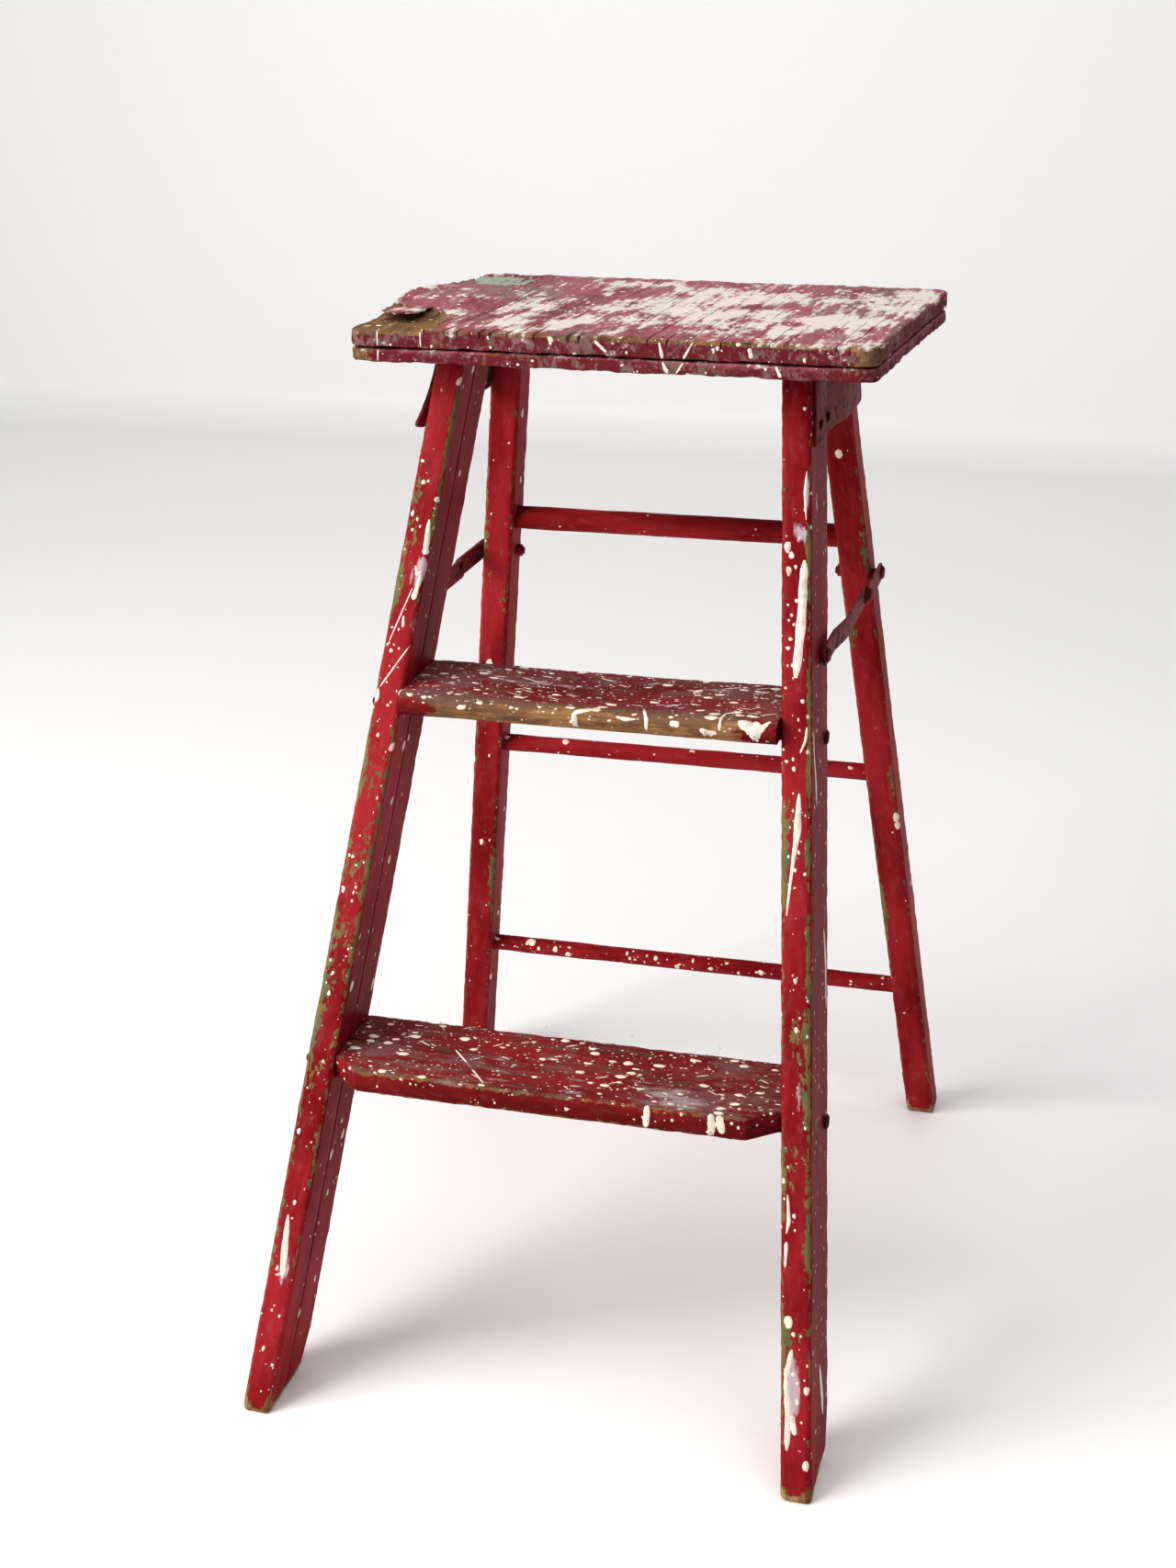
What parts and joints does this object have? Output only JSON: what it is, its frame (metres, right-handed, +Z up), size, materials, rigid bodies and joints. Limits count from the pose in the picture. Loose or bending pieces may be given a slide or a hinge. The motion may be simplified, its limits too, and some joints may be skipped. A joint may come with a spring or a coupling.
{
  "type": "step ladder",
  "caption": "Folding wooden step ladder with housed steps, a flat double-board top, a hinged rear frame with round rungs, and folding steel spreaders.",
  "frame": {"origin": "on the floor, midway between the front and rear feet and between the left and right feet", "axes": "+Z up, +Y from the steps towards the rear frame, +X to the right of a person climbing"},
  "size_m": [0.53, 0.6974, 0.87],
  "materials": {
    "red_wood": "worn red gloss paint over older green paint, splattered with cream paint",
    "step_wood": "worn red paint rubbed to bare wood on the nose, heavily splattered",
    "top_wood": "cracked, weathered boards with worn red, grey and cream paint",
    "red_steel": "steel strap painted over in dull red",
    "dark_steel": "dark rusted steel fasteners with traces of red paint"
  },
  "bodies": {
    "front_frame": {"stile_left": "red_wood", "stile_right": "red_wood", "step_lower": "step_wood", "step_upper": "step_wood", "tie_rod_lower": "dark_steel", "rod_washer_lower": "dark_steel", "rod_nut_lower": "dark_steel", "tie_rod_upper": "dark_steel", "rod_washer_upper": "dark_steel", "rod_nut_upper": "dark_steel", "top_board_lower": "top_wood", "top_board_upper": "top_wood", "board_screw_left_1": "dark_steel", "board_screw_left_2": "dark_steel", "board_screw_right_1": "dark_steel", "board_screw_right_2": "dark_steel", "hinge_plate_left": "red_steel", "plate_screw_left_1": "red_steel", "plate_screw_left_2": "red_steel", "plate_screw_left_3": "red_steel", "hinge_bolt_left": "dark_steel", "hinge_nut_left": "dark_steel", "hinge_plate_right": "red_steel", "plate_screw_right_1": "red_steel", "plate_screw_right_2": "red_steel", "plate_screw_right_3": "red_steel", "hinge_bolt_right": "dark_steel", "hinge_nut_right": "dark_steel", "spreader_front_bolt_left": "red_steel", "spreader_collar_left": "red_steel", "spreader_front_bolt_right": "red_steel", "spreader_collar_right": "red_steel"},
    "rear_frame": {"rear_leg_left": "red_wood", "rear_leg_right": "red_wood", "rung_lower": "red_wood", "rung_middle": "red_wood", "rung_upper": "red_wood", "spreader_rear_bolt_left": "red_steel", "spreader_rear_nut_left": "dark_steel", "spreader_rear_bolt_right": "red_steel", "spreader_rear_nut_right": "dark_steel"},
    "front_link_left": {"spreader_front_link_left": "red_steel", "spreader_rivet_tail_left": "red_steel"},
    "front_link_right": {"spreader_front_link_right": "red_steel", "spreader_rivet_tail_right": "red_steel"},
    "rear_link_left": {"spreader_rear_link_left": "red_steel", "spreader_rivet_head_left": "red_steel"},
    "rear_link_right": {"spreader_rear_link_right": "red_steel", "spreader_rivet_head_right": "red_steel"}
  },
  "joints": [
    {"name": "rear_fold", "type": "hinge", "parent": "front_frame", "child": "rear_frame", "pos_m": [0, 0.1886, 0.808], "axis": [-1, 0, 0], "range_deg": [0, 37]},
    {"name": "front_link_left_swing", "type": "hinge", "parent": "front_frame", "child": "front_link_left", "pos_m": [-0.188, -0.04375, 0.614], "axis": [1, 0, 0], "range_deg": [0, 30]},
    {"name": "front_link_right_swing", "type": "hinge", "parent": "front_frame", "child": "front_link_right", "pos_m": [0.188, -0.04375, 0.614], "axis": [1, 0, 0], "range_deg": [0, 30]},
    {"name": "rear_link_left_swing", "type": "hinge", "parent": "rear_frame", "child": "rear_link_left", "pos_m": [-0.195, 0.22525, 0.614], "axis": [-1, 0, 0], "range_deg": [0, 69]},
    {"name": "rear_link_right_swing", "type": "hinge", "parent": "rear_frame", "child": "rear_link_right", "pos_m": [0.195, 0.22525, 0.614], "axis": [-1, 0, 0], "range_deg": [0, 69]}
  ],
  "couplings": [
    {"joint": "front_link_left_swing", "follows": "rear_fold", "ratio": 0.7944},
    {"joint": "front_link_right_swing", "follows": "rear_fold", "ratio": 0.7944},
    {"joint": "rear_link_left_swing", "follows": "rear_fold", "ratio": 1.8424},
    {"joint": "rear_link_right_swing", "follows": "rear_fold", "ratio": 1.8424}
  ]
}
